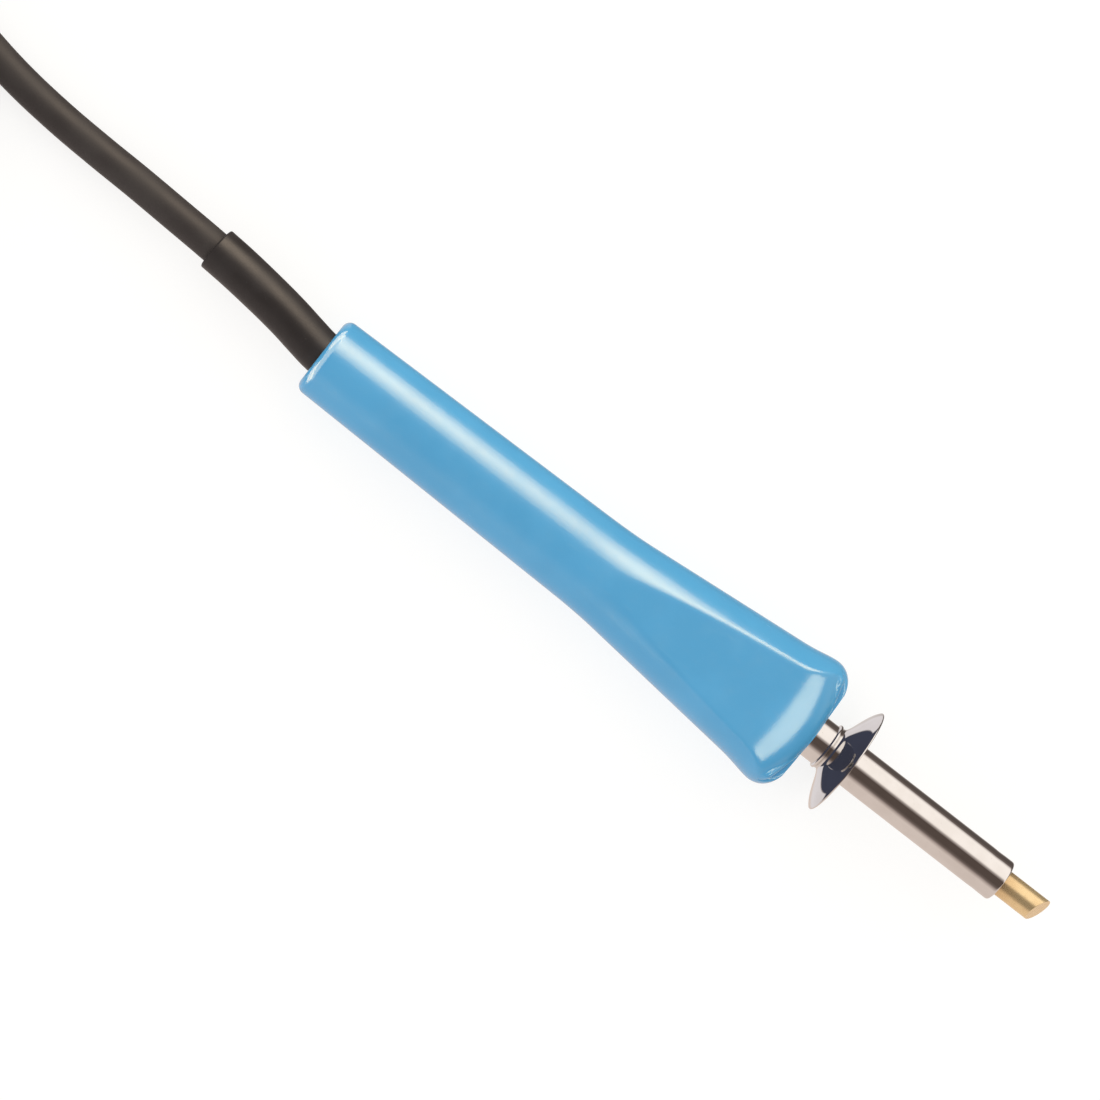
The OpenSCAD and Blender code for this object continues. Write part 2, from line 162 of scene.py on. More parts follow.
def add_cord():
    curve = bpy.data.curves.new("mains_cord", "CURVE")
    curve.dimensions = "3D"
    curve.bevel_depth, curve.bevel_resolution = CORD_R * MM, 5
    curve.resolution_u, curve.use_fill_caps = 5, True
    points = cord_points()
    spline = curve.splines.new("BEZIER")
    spline.bezier_points.add(len(points) - 1)
    for knot, point in zip(spline.bezier_points, points):
        knot.co = ROW @ Vector(point)
        knot.handle_left_type = knot.handle_right_type = "AUTO"
    cord = bpy.data.objects.new("mains_cord", curve)
    bpy.context.collection.objects.link(cord)
    return cord


# ---- Mesh helpers ----

def bezier(p, steps):
    p = [Vector(q) for q in p]
    return [(1 - t) ** 3 * p[0] + 3 * (1 - t) ** 2 * t * p[1] + 3 * (1 - t) * t * t * p[2]
            + t ** 3 * p[3] for t in (i / steps for i in range(steps + 1))]


def arc(centre, r, start, end, steps):
    angles = [radians(start + (end - start) * i / steps) for i in range(steps + 1)]
    return [Vector((centre[0] + r * cos(a), centre[1] + r * sin(a))) for a in angles]


def line(start, end, steps):
    a, b = Vector(start), Vector(end)
    return [a.lerp(b, i / steps) for i in range(steps + 1)]


def rounded(corners, steps=6):
    """A closed outline of (x, y, radius) corners, with each corner rounded."""
    out = []
    for i, (x, y, radius) in enumerate(corners):
        here = Vector((x, y))
        if not radius:
            out.append(here)
            continue
        before = Vector(corners[i - 1][:2]) - here
        after = Vector(corners[(i + 1) % len(corners)][:2]) - here
        reach = radius / tan(before.angle(after) / 2)
        reach = min(reach, 0.4 * before.length, 0.4 * after.length)
        a, b = here + before.normalized() * reach, here + after.normalized() * reach
        out.append(a + before.normalized() * 0.2 * reach)
        out += [(1 - t) ** 2 * a + 2 * t * (1 - t) * here + t * t * b
                for t in (k / steps for k in range(steps + 1))]
        out.append(b + after.normalized() * 0.2 * reach)
    return out


def mesh_piece(name, verts, faces, place):
    mesh = bpy.data.meshes.new(name)
    mesh.from_pydata([tuple(v) for v in verts], [], faces)
    mesh.transform(place)
    shape = bmesh.new()
    shape.from_mesh(mesh)
    bmesh.ops.remove_doubles(shape, verts=shape.verts, dist=1e-7)
    bmesh.ops.recalc_face_normals(shape, faces=shape.faces)
    shape.to_mesh(mesh)
    shape.free()
    mesh.shade_smooth()
    piece = bpy.data.objects.new(name, mesh)
    bpy.context.collection.objects.link(piece)
    return piece


def skin(name, rings, place, loop=False):
    """A closed skin over rings with equally many points; its ends are closed, or joined."""
    n, count = len(rings[0]), len(rings)
    verts = [p for ring in rings for p in ring]
    faces = []
    for i in range(count if loop else count - 1):
        a, b = i * n, (i + 1) % count * n
        faces += [(a + k, a + (k + 1) % n, b + (k + 1) % n, b + k) for k in range(n)]
    if not loop:
        for start in (0, (count - 1) * n):
            middle = sum((Vector(p) for p in verts[start:start + n]), Vector()) / n
            verts.append(middle)
            faces += [(start + k, start + (k + 1) % n, len(verts) - 1) for k in range(n)]
    return mesh_piece(name, verts, faces, place)


def lathe(name, outline, place=IRON, sides=128, loop=True):
    """Turned about X from an outline of (x, radius)."""
    angles = [2 * pi * k / sides for k in range(sides)]
    rings = [[(x, r * cos(a), r * sin(a)) for a in angles] for x, r in outline]
    return skin(name, rings, place, loop)


def smooth_path(points, step=1.0):
    """Points about step apart on a smooth curve through the given ones."""
    p = [Vector(q) for q in points]
    out = []
    for i in range(len(p) - 1):
        before = p[i - 1] if i else 2 * p[0] - p[1]
        after = p[i + 2] if i + 2 < len(p) else 2 * p[-1] - p[-2]
        m0, m1 = (p[i + 1] - before) / 2, (after - p[i]) / 2
        count = max(1, round((p[i + 1] - p[i]).length / step))
        for k in range(count):
            t = k / count
            out.append((2 * t ** 3 - 3 * t * t + 1) * p[i] + (t ** 3 - 2 * t * t + t) * m0
                       + (3 * t * t - 2 * t ** 3) * p[i + 1] + (t ** 3 - t * t) * m1)
    return out + [p[-1]]


def ring_round(path, i, offset, r, sides):
    """A ring of radius r round a path, offset along it from station i."""
    t = (path[min(i + 1, len(path) - 1)] - path[max(i - 1, 0)]).normalized()
    across = Vector((0, 0, 1)).cross(t).normalized()
    up = t.cross(across)
    middle = path[i] + offset * t
    return [middle + r * (cos(a) * up + sin(a) * across)
            for a in (2 * pi * k / sides for k in range(sides))]


# ---- Handle ----

WAIST = (56, 8.35)
FLARE = (67, 8.91)
SHOULDER = (97, 11.85)
BULB = (104, 12.9)
FRONT_ROUND = 3.9
FRONT_X = 108
FACE_R = 7.5
BORE_R = 5.66
FLAT_H = 8.65
FLAT_END_X, FLAT_END_H = 99.4, 4.6
FRONT_DOME = 2.4
RIDGE_SHARPNESS = 60


def flat_height(x, y):
    """Half the distance between the two flats, which round over at the domed front."""
    if x <= FLAT_END_X:
        return FLAT_H
    reach = FRONT_X + 0.1 - FLAT_END_X - FRONT_DOME * (y / 10) ** 2
    u = min((x - FLAT_END_X) / reach, 1)
    return FLAT_END_H + (FLAT_H - FLAT_END_H) * sqrt(1 - u * u)


def handle_outline():
    outline = line((0, 4.6), (0, REAR_R - REAR_ROUND), 3)
    outline += arc((REAR_ROUND, REAR_R - REAR_ROUND), REAR_ROUND, 180, 90, 12)
    outline += line((REAR_ROUND, REAR_R), WAIST, 40)
    outline += bezier([WAIST, (61, 8.42), (64, 8.6), FLARE], 14)
    outline += line(FLARE, SHOULDER, 44)
    outline += bezier([SHOULDER, (100.5, 12.2), (102.2, 12.9), BULB], 20)
    outline += arc((BULB[0], BULB[1] - FRONT_ROUND), FRONT_ROUND, 88, 12, 24)
    outline += bezier([outline[-1], (FRONT_X - 0.14, 8.9), (FRONT_X - 0.05, FACE_R),
                       (FRONT_X, BORE_R)], 14)[1:]
    return [p for i, p in enumerate(outline) if i == 0 or (p - outline[i - 1]).length > 1e-4]


def add_handle():
    sides = 256
    rings = []
    for x, r in handle_outline():
        ring = []
        for k in range(sides):
            a = 2 * pi * (k + 0.5) / sides
            limit = flat_height(x, 0) / abs(cos(a))
            for _ in range(4 if x > FLAT_END_X else 0):
                limit = flat_height(x, min(r, limit) * sin(a)) / abs(cos(a))
            soft = (r ** -RIDGE_SHARPNESS + limit ** -RIDGE_SHARPNESS) ** (-1 / RIDGE_SHARPNESS)
            soft = max(soft, BORE_R) if x > FLAT_END_X else soft
            ring.append((x, soft * sin(a), soft * cos(a)))
        rings.append(ring)
    angles = [2 * pi * (k + 0.5) / sides for k in range(sides)]
    inside = [(107.9, 5.65), (90, 5.65), (14, 5.65), (14, 4.15), (0.35, 4.15), (0.1, 4.3)]
    rings += [[(x, r * sin(a), r * cos(a)) for a in angles] for x, r in inside]
    return skin("handle_moulding", rings, IRON, loop=True)


# ---- Barrel, heat shield, bush and tip ----

BARREL_R = 4
BARREL_REAR_X, NOSE_X = 82, 150.3
CRIMP_X, CRIMP_LEN, CRIMP_DEPTH = 145.5, 3, 0.04
SHIELD_X = 111
TIP_R = 2.5
TIP_END_X = 158.6
TIP_SLOPE, TIP_TURN = radians(30), radians(33)


def add_barrel():
    """A tube with a rolled groove behind the shield, a shallow crimp and a turned-in nose."""
    steps = 16
    crimp = [(CRIMP_X + CRIMP_LEN * k / steps,
              BARREL_R - CRIMP_DEPTH / 2 * (1 - cos(2 * pi * k / steps)), 0)
             for k in range(steps + 1)]
    groove, nose = SHIELD_X + 2, NOSE_X
    outline = rounded(
        [(BARREL_REAR_X, 3.55, 0), (BARREL_REAR_X, BARREL_R, 0.15), (groove - 0.2, BARREL_R, 0.1),
         (groove, 3.78, 0.1), (groove + 0.4, 3.78, 0.1), (groove + 0.6, BARREL_R, 0.1)] + crimp +
        [(nose, BARREL_R, 0.85), (nose, 2.6, 0.15), (nose - 0.6, 2.6, 0.1),
         (nose - 0.6, 3.05, 0.1), (nose - 1, 3.4, 0.1), (nose - 4.6, 3.45, 0),
         (nose - 5, 3.55, 0)])
    return lathe("barrel_chrome_tube", outline, sides=160)


def add_shield():
    """A hub with a rolled lip, then a trumpet of even thickness out to its folded rim."""
    x, sheet, last = SHIELD_X, 0.38, 40
    back = bezier([(x + 1.2, 4.2), (x + 2.2, 4.5), (x + 2.9, 8.55), (x + 4.6, 10.42)], last)
    ways = [(back[min(i + 1, last)] - back[max(i - 1, 0)]).normalized() for i in range(last + 1)]
    front = [p + sheet * Vector((t.y, -t.x)) for p, t in zip(back, ways)]
    middle, side = (back[last] + front[last]) / 2, Vector((ways[last].y, -ways[last].x))
    rim = [middle + sheet / 2 * (sin(a) * ways[last] - cos(a) * side)
           for a in (radians(15 * k) for k in range(1, 12))]
    lip = arc((x + 0.45, 4.12), 0.36, 180, 20, 12)
    outline = [Vector((x + 0.1, 4.03))] + lip + back + rim + front[::-1][:-3]
    outline += [Vector((x + 1.65, 4.15)), Vector((x + 1.5, 4.03))]
    return lathe("heat_shield_trumpet", outline, sides=192)


def add_bush():
    outline = rounded(
        [(91.5, 4.02, 0.1), (107.7, 4.02, 0.2), (107.7, 5.6, 0.3), (100.4, 5.6, 0.1),
         (100.2, 5.9, 0.1), (99.2, 5.9, 0.1), (99, 5.6, 0.1), (91.5, 5.6, 0.2)])
    return lathe("front_bush_ring", outline)


def add_tip():
    """A round rod with a grooved shank and a filed oblique face."""
    sides = 128
    slant = (sin(TIP_TURN) * tan(TIP_SLOPE), -cos(TIP_TURN) * tan(TIP_SLOPE))
    angles = [2 * pi * k / sides for k in range(sides)]

    def ring(x, r, share):
        return [(x + share * (slant[0] * r * cos(a) + slant[1] * r * sin(a)),
                 r * cos(a), r * sin(a)) for a in angles]

    rear, groove = 118.7, 121
    stations = [(rear, 1.2), (rear, 2), (rear + 0.12, 2.28), (rear + 0.4, TIP_R),
                (rear + 0.6, TIP_R), (groove - 0.1, TIP_R), (groove, TIP_R - 0.05),
                (groove + 0.02, 2.15), (groove + 0.1, 2.1), (groove + 1.1, 2.1),
                (groove + 1.18, 2.15), (groove + 1.2, TIP_R - 0.05), (groove + 1.3, TIP_R)]
    rings = [ring(x, r, 0) for x, r in stations]
    rings += [ring(124 + 4 * k, TIP_R, 0) for k in range(8)]
    rings += [ring(TIP_END_X - d, TIP_R, 1) for d in (2.2, 1.2, 0.6, 0.3, 0.2)]
    rings += [ring(TIP_END_X - 0.1 * (1 - sin(a)), TIP_R - 0.1 * (1 - cos(a)), 1)
              for a in (radians(15 * k) for k in range(7))]
    rings += [ring(TIP_END_X, r, 1) for r in (2.3, 2.1, 1.6, 1, 0.4)]
    return skin("tip_plated_rod", rings, IRON)


# ---- Rubber sleeve ----

def add_sleeve():
    """A plain rubber tube over the cord, with a flange behind the handle's rear wall."""
    path = smooth_path([(-50.9, 0, 7.85)] + CORD_ROUTE[3:11], 1)
    last = len(path) - 1
    sides = 64
    rings = [ring_round(path, 0, 0, r, sides) for r in (3.12, 5.3)]
    rings += [ring_round(path, 0, x, 5.4, sides) for x in (0.1, 0.75)]
    rings += [ring_round(path, 0, x, r, sides) for x, r in ((0.85, 5.3), (0.87, 4.2), (1, 4.1))]
    for i in range(3, last):
        s = i / last
        r = 4.1 - 0.13 * ease(s * 3) + 0.08 * ease(s * 2 - 1)
        rings.append(ring_round(path, i, 0, r, sides))
    edge = 0.3
    rings += [ring_round(path, last, -edge * (1 - sin(a)), 4.06 - edge * (1 - cos(a)), sides)
              for a in (radians(15 * k) for k in range(7))]
    rings += [ring_round(path, last, x, r, sides)
              for x, r in ((0, 3.4), (-0.03, 3.2), (-0.15, 3.1), (-1, 3.08), (-6, 3.05))]
    rings += [ring_round(path, i, 0, 3.05, sides) for i in range(last - 8, 0, -4)]
    return skin("cord_sleeve_tube", rings, ROW, loop=True)


# ---- Hank tie ----

TIE_X = -206


def add_tie():
    """A hook and loop strap, wound once round the strands and lapped over itself."""
    loop = rounded([(-0.6, 18.5, 4), (-15.5, 10.5, 3), (-15.3, 0.5, 2.2), (15.3, 0.5, 2.2),
                    (15.5, 10.5, 3), (5.6, 18.5, 4)], 8)
    path = smooth_path([Vector((q.x, q.y, 0)) for q in loop + loop[:1]], 1)
    count = len(path) - 1
    width, thick, lap, lap_lift = 9, 0.9, 16, 0.95
    section = rounded([(-width / 2, -thick / 2, 0.25), (width / 2, -thick / 2, 0.25),
                       (width / 2, thick / 2, 0.25), (-width / 2, thick / 2, 0.25)], 3)
    rings = []
    for i in range(count + lap):
        here, nxt, prv = (path[j % count] for j in (i, i + 1, i - 1))
        t = (nxt - prv).normalized()
        out = Vector((-t.y, t.x, 0))
        lift = lap_lift * ease((i - count + 4) / 4)
        middle = here + out * lift
        rings.append([(TIE_X + s, HANK_Y + middle.x + out.x * d, middle.y + out.y * d)
                      for s, d in ((q.x, q.y) for q in section)])
    return skin("hank_tie_strap", rings, ROW)


# ---- Plug ----

PLUG_X, PLUG_Z = -238, 22.75
RELIEF, RELIEF_R, GROOVE_PITCH = 22, 4.1, 3.1
PLUG = ROW @ Matrix.Translation((PLUG_X, HANK_Y, PLUG_Z)) @ Matrix.Rotation(pi, 4, "Z")
# Station along the plug, half width, half height and squareness of its section
PLUG_PROFILE = [(21, 5.6, 5.6, 2), (22.5, 6, 6, 2.05), (24, 7.6, 6.9, 2.2), (25.5, 9.6, 8.1, 2.5),
                (27, 11.4, 9.2, 2.9), (28.5, 12.6, 10, 3.3), (30, 13.2, 10.45, 3.7),
                (31.5, 13.45, 10.65, 4), (33, 13.3, 10.7, 4.2), (36, 12.9, 10.7, 4.4),
                (40, 12.6, 10.7, 4.6), (44, 12.7, 10.7, 4.8), (47, 13.1, 10.7, 5),
                (49, 13.4, 10.72, 5), (50.6, 13.5, 10.75, 5)]
RIBS_FROM, RIBS_TO, RIB_PITCH, RIB_H = 34, 46, 3, 0.45


def add_plug_body():
    """Moulded body: grips hollowed into its sides, with four raised ribs on each."""
    def rib(x, c):
        if not RIBS_FROM < x < RIBS_TO:
            return 0
        wave = 0.5 - 0.5 * cos(2 * pi * (x - RIBS_FROM) / RIB_PITCH)
        return RIB_H * wave * ease((abs(c) - 0.62) / 0.12) * (1 if c > 0 else -1)

    def ring(x, w, h, n):
        """A section between an ellipse and a rectangle, squarer as n grows."""
        sides = 144
        points = []
        for c, s in ((cos(2 * pi * k / sides), sin(2 * pi * k / sides)) for k in range(sides)):
            r = (abs(c / w) ** n + abs(s / h) ** n) ** (-1 / n)
            points.append((x, r * c + rib(x, c), r * s))
        return points

    stations = smooth_path(PLUG_PROFILE, 0.45)
    x, w, h, n = stations[-1]
    end = ((0.5, 0.08), (0.9, 0.25), (1.2, 0.55), (1.4, 1), (1.4, 1.6), (1.4, 4), (1.4, 8))
    rings = [ring(*station) for station in stations]
    rings += [ring(x + dx, w - inset, h - inset, n) for dx, inset in end]
    return skin("plug_moulding", rings, PLUG)


def add_plug_relief():
    """Tapered relief, cut by grooves."""
    corners = [(0, CORD_R + 0.03, 0), (0, RELIEF_R, 0.4)]
    for k in range(6):
        x = 2.4 + k * GROOVE_PITCH
        r = RELIEF_R + 1.75 * x / RELIEF
        corners += [(x, r, 0.25), (x, r - 0.75, 0.15), (x + 1.1, r - 0.7, 0.15),
                    (x + 1.1, r + 0.08, 0.25)]
    corners += [(RELIEF + 1, 6, 0), (RELIEF + 1, CORD_R + 0.03, 0)]
    return lathe("plug_relief_sleeve", rounded(corners, 4), PLUG, 96)


def add_blade(side, name):
    """Flat blade with a rounded nose and the usual hole."""
    x0, x1, low, high = 45, 69, -5.1, 1.25
    middle = (low + high) / 2
    outline = rounded([(x0, low, 0.1), (x1, low, 1.6), (x1, high, 1.6), (x0, high, 0.1)], 6)
    hole = arc((x1 - 4.6, middle), 1.55, 0, 360, 28)[:-1]
    curve = bpy.data.curves.new(name, "CURVE")
    curve.dimensions, curve.fill_mode = "2D", "BOTH"
    curve.extrude, curve.bevel_depth, curve.bevel_resolution = 0.6, 0.15, 2
    for points in (outline, hole):
        spline = curve.splines.new("POLY")
        spline.points.add(len(points) - 1)
        for knot, p in zip(spline.points, points):
            knot.co = (p.x, p.y, 0, 1)
        spline.use_cyclic_u = True
    shape = bpy.data.objects.new(name + "_outline", curve)
    mesh = bpy.data.meshes.new_from_object(shape)
    bpy.data.objects.remove(shape)
    bpy.data.curves.remove(curve)
    mesh.transform(PLUG @ Matrix.Translation((0, 0, side * 6.35)))
    mesh.name = name
    blade = bpy.data.objects.new(name, mesh)
    bpy.context.collection.objects.link(blade)
    return blade


def add_earth_pin():
    nose = [(66, 2.4)] + [(66 + 2.4 * sin(a), 2.4 * cos(a))
                          for a in (radians(10 * k) for k in range(1, 9))] + [(68.39, 0.15)]
    outline = [(45, 1), (45, 2.3), (45.1, 2.4), (52, 2.4), (60, 2.4)] + nose
    return lathe("plug_earth_pin_rod", outline, PLUG @ Matrix.Translation((0, 6.4, 0)), 64, False)


# ---- Materials ----

class Nodes:
    """Short way to write a node tree."""

    def __init__(self, tree):
        self.tree = tree

    def add(self, kind, inputs=None, **settings):
        node = self.tree.nodes.new(kind)
        for name, value in settings.items():
            setattr(node, name, value)
        for name, value in (inputs or {}).items():
            self.set(node, name, value)
        return node

    def set(self, node, name, value):
        socket = node.inputs[name]
        if isinstance(value, bpy.types.NodeSocket):
            self.tree.links.new(value, socket)
        else:
            socket.default_value = value

    def math(self, operation, a, b=0.0, c=0.0):
        return self.add("ShaderNodeMath", {0: a, 1: b, 2: c}, operation=operation).outputs[0]

    def span(self, value, low, high, to_low=0.0, to_high=1.0):
        """A smooth step between two values, flat outside them."""
        node = self.add("ShaderNodeMapRange", {
            "Value": value, "From Min": low, "From Max": high, "To Min": to_low,
            "To Max": to_high}, interpolation_type="SMOOTHSTEP")
        return node.outputs["Result"]

    def noise(self, vector, scale, detail=3.0, roughness=0.5):
        node = self.add("ShaderNodeTexNoise", {
            "Vector": vector, "Scale": scale, "Detail": detail, "Roughness": roughness})
        return node.outputs[0]

    def mix(self, factor, a, b):
        node = self.add("ShaderNodeMix", data_type="RGBA")
        for name, value in (("Factor", factor), ("A", a), ("B", b)):
            socket = next(s for s in node.inputs if s.name == name and s.type ==
                          ("VALUE" if name == "Factor" else "RGBA"))
            if isinstance(value, bpy.types.NodeSocket):
                self.tree.links.new(value, socket)
            else:
                socket.default_value = value
        return next(s for s in node.outputs if s.type == "RGBA")

    def bump(self, height, distance, strength=1.0, normal=None):
        inputs = {"Height": height, "Distance": distance, "Strength": strength}
        if normal is not None:
            inputs["Normal"] = normal
        return self.add("ShaderNodeBump", inputs).outputs[0]


def rgba(r, g, b):
    return (r, g, b, 1.0)


def material(name, metallic=0.0, specular=0.5):
    made = bpy.data.materials.new(name)
    made.use_nodes = True
    shader = made.node_tree.nodes["Principled BSDF"]
    shader.inputs["Metallic"].default_value = metallic
    shader.inputs["Specular IOR Level"].default_value = specular
    nodes = Nodes(made.node_tree)
    place = nodes.add("ShaderNodeTexCoord").outputs["Object"]
    return made, shader, nodes, place


def iron_frame(nodes, place):
    """Object coordinates turned so that X runs along the iron from the handle's rear face."""
    shifted = nodes.add("ShaderNodeVectorMath", {0: place, 1: (REAR_X * MM, 0, LIFT * MM)},
                        operation="SUBTRACT").outputs[0]
    return nodes.add("ShaderNodeVectorRotate", {"Vector": shifted, "Angle": LEAN},
                     rotation_type="Y_AXIS").outputs[0]


def stretched(nodes, vector, factors):
    return nodes.add("ShaderNodeVectorMath", {0: vector, 1: factors},
                     operation="MULTIPLY").outputs[0]


def handle_plastic():
    """Glossy injection moulding: faint orange peel, pigment mottle, a parting line, fine rubs."""
    made, shader, n, place = material("handle_plastic_blue")
    shader.inputs["Specular Tint"].default_value = rgba(1.0, 0.84, 0.45)
    own = iron_frame(n, place)
    mottle = n.noise(place, 90, 4)
    speck = n.noise(place, 5200, 2)
    base = n.mix(n.span(mottle, 0.35, 0.65), rgba(0.088, 0.362, 0.640), rgba(0.096, 0.382, 0.670))
    base = n.mix(n.span(speck, 0.60, 0.78, 0, 0.25), base, rgba(0.16, 0.44, 0.70))
    rub = n.noise(stretched(n, own, (0.12, 1, 1)), 2600, 3)
    smear = n.noise(place, 240, 3)
    rough = n.math("MULTIPLY_ADD", n.span(smear, 0.4, 0.75), 0.05, 0.16)
    rough = n.math("MULTIPLY_ADD", n.span(rub, 0.60, 0.72), 0.07, rough)
    parts = n.add("ShaderNodeSeparateXYZ", {0: own})
    seam = n.span(n.math("ABSOLUTE", parts.outputs[2]), 0.00003, 0.00011, 1, 0)
    peel = n.bump(n.noise(place, 700, 2), 0.00001, 0.5)
    fine = n.bump(rub, 0.000004, 0.5, peel)
    line_bump = n.bump(seam, 0.00003, 0.7, fine)
    n.set(shader, "Base Color", base)
    n.set(shader, "Roughness", rough)
    n.set(shader, "Normal", line_bump)
    return made


def bush_moulding():
    made, shader, n, place = material("bush_dark_moulding")
    grain = n.noise(place, 2600, 4)
    base = n.mix(grain, rgba(0.030, 0.022, 0.018), rgba(0.065, 0.05, 0.042))
    n.set(shader, "Base Color", base)
    n.set(shader, "Roughness", n.span(grain, 0.3, 0.7, 0.5, 0.7))
    n.set(shader, "Normal", n.bump(grain, 0.00004, 0.5))
    return made


def chrome():
    """Bright plate: faint drawing lines along it, haze and a few dull flecks."""
    made, shader, n, place = material("chrome_plate", 1.0)
    own = iron_frame(n, place)
    drawn = n.noise(stretched(n, own, (0.02, 1, 1)), 7000, 2)
    haze = n.noise(place, 320, 4)
    fleck = n.noise(place, 3400, 2)
    base = n.mix(n.span(haze, 0.35, 0.7), rgba(0.83, 0.815, 0.80), rgba(0.79, 0.77, 0.75))
    base = n.mix(n.span(fleck, 0.70, 0.80, 0, 0.5), base, rgba(0.42, 0.38, 0.35))
    rough = n.math("MULTIPLY_ADD", n.span(haze, 0.45, 0.75), 0.03, 0.03)
    rough = n.math("MULTIPLY_ADD", n.span(fleck, 0.66, 0.8), 0.12, rough)
    n.set(shader, "Base Color", base)
    n.set(shader, "Roughness", rough)
    n.set(shader, "Normal", n.bump(drawn, 0.0000025, 0.5))
    return made


def tip_plating():
    """Gold-coloured plating, browner towards the barrel, with fine turning lines and flecks."""
    made, shader, n, place = material("tip_gold_plating", 0.75)
    own = iron_frame(n, place)
    parts = n.add("ShaderNodeSeparateXYZ", {0: own})
    cloud = n.noise(place, 900, 4)
    fleck = n.noise(place, 5200, 3)
    clean, worn = rgba(0.93, 0.71, 0.40), rgba(0.89, 0.66, 0.36)
    base = n.mix(n.span(cloud, 0.35, 0.7), clean, worn)
    heat = n.span(n.math("MULTIPLY_ADD", cloud, 0.002, parts.outputs[0]), 0.1515, 0.1560, 0.35, 0)
    base = n.mix(heat, base, rgba(0.62, 0.38, 0.17))
    base = n.mix(n.span(fleck, 0.66, 0.8, 0, 0.4), base, rgba(0.40, 0.25, 0.12))
    turned = n.noise(stretched(n, own, (1, 0.08, 0.08)), 9000, 2)
    rough = n.math("MULTIPLY_ADD", n.span(cloud, 0.4, 0.75), 0.08, 0.24)
    n.set(shader, "Base Color", base)
    n.set(shader, "Roughness", rough)
    n.set(shader, "Normal", n.bump(turned, 0.000008, 0.6, n.bump(fleck, 0.00001, 0.4)))
    return made


def rubber(name, low, high, rough, specular):
    """Soft moulded rubber: matt grain and dusty patches."""
    made, shader, n, place = material(name, specular=specular)
    grain = n.noise(place, 2600, 4, 0.6)
    patch = n.noise(place, 130, 3)
    base = n.mix(n.span(patch, 0.3, 0.7), low, high)
    base = n.mix(n.span(grain, 0.62, 0.8, 0, 0.35), base, rgba(0.10, 0.092, 0.085))
    n.set(shader, "Base Color", base)
    n.set(shader, "Roughness", n.math("MULTIPLY_ADD", n.span(patch, 0.35, 0.7), 0.09, rough))
    n.set(shader, "Normal", n.bump(grain, 0.00003, 0.4))
    return made


def tie_strap():
    """Woven strap: ribs along it and a field of small loops."""
    made, shader, n, place = material("tie_woven_strap", specular=0.2)
    parts = n.add("ShaderNodeSeparateXYZ", {0: place})
    rib = n.math("SINE", n.math("MULTIPLY", parts.outputs[0], 2 * pi / 0.0008))
    loops = n.add("ShaderNodeTexVoronoi", {"Vector": place, "Scale": 2200.0}).outputs[0]
    fuzz = n.noise(place, 4200, 3)
    height = n.math("MULTIPLY_ADD", rib, 0.3, n.math("ADD", loops, fuzz))
    base = n.mix(n.span(loops, 0.1, 0.8), rgba(0.012, 0.012, 0.013), rgba(0.045, 0.045, 0.048))
    n.set(shader, "Base Color", base)
    shader.inputs["Roughness"].default_value = 0.85
    shader.inputs["Sheen Weight"].default_value = 0.3
    n.set(shader, "Normal", n.bump(height, 0.0001, 0.6))
    return made


def plug_vinyl():
    """Black vinyl with the fine spark-eroded grain of its mould."""
    made, shader, n, place = material("plug_black_vinyl", specular=0.4)
    grain = n.add("ShaderNodeTexVoronoi", {"Vector": place, "Scale": 2400.0}).outputs[0]
    cloud = n.noise(place, 160, 3)
    base = n.mix(n.span(cloud, 0.3, 0.7), rgba(0.018, 0.017, 0.017), rgba(0.030, 0.029, 0.028))
    n.set(shader, "Base Color", base)
    n.set(shader, "Roughness", n.span(cloud, 0.3, 0.7, 0.42, 0.55))
    n.set(shader, "Normal", n.bump(n.math("ADD", grain, n.noise(place, 4800, 2)), 0.00003, 0.5))
    return made


def metal(name, light, dark, rough, lines=4000):
    """Plain metal: drawn lines and dull patches."""
    made, shader, n, place = material(name, 1.0)
    drawn = n.noise(stretched(n, place, (0.05, 1, 1)), lines, 3)
    cloud = n.noise(place, 500, 4)
    base = n.mix(n.span(cloud, 0.35, 0.75), light, dark)
    n.set(shader, "Base Color", base)
    n.set(shader, "Roughness", n.math("MULTIPLY_ADD", n.span(cloud, 0.3, 0.8), 0.12, rough))
    n.set(shader, "Normal", n.bump(drawn, 0.000006, 0.6))
    return made


def insulation(name, light, dark):
    """Coloured wire insulation: satin, with faint waves of the strands under it."""
    made, shader, n, place = material(name)
    wave = n.noise(stretched(n, place, (0.3, 1, 1)), 1500, 3)
    n.set(shader, "Base Color", n.mix(n.span(wave, 0.3, 0.7), light, dark))
    n.set(shader, "Roughness", n.span(wave, 0.3, 0.7, 0.3, 0.42))
    n.set(shader, "Normal", n.bump(wave, 0.00003, 0.4))
    return made


def mineral(name, light, dark, rough, scale=1800):
    """Ceramic and mica: chalky grain with darker flecks."""
    made, shader, n, place = material(name, specular=0.3)
    grain = n.noise(place, scale, 5, 0.6)
    base = n.mix(n.span(grain, 0.35, 0.7), light, dark)
    n.set(shader, "Base Color", base)
    n.set(shader, "Roughness", n.span(grain, 0.3, 0.7, rough, rough + 0.15))
    n.set(shader, "Normal", n.bump(grain, 0.00003, 0.5))
    return made


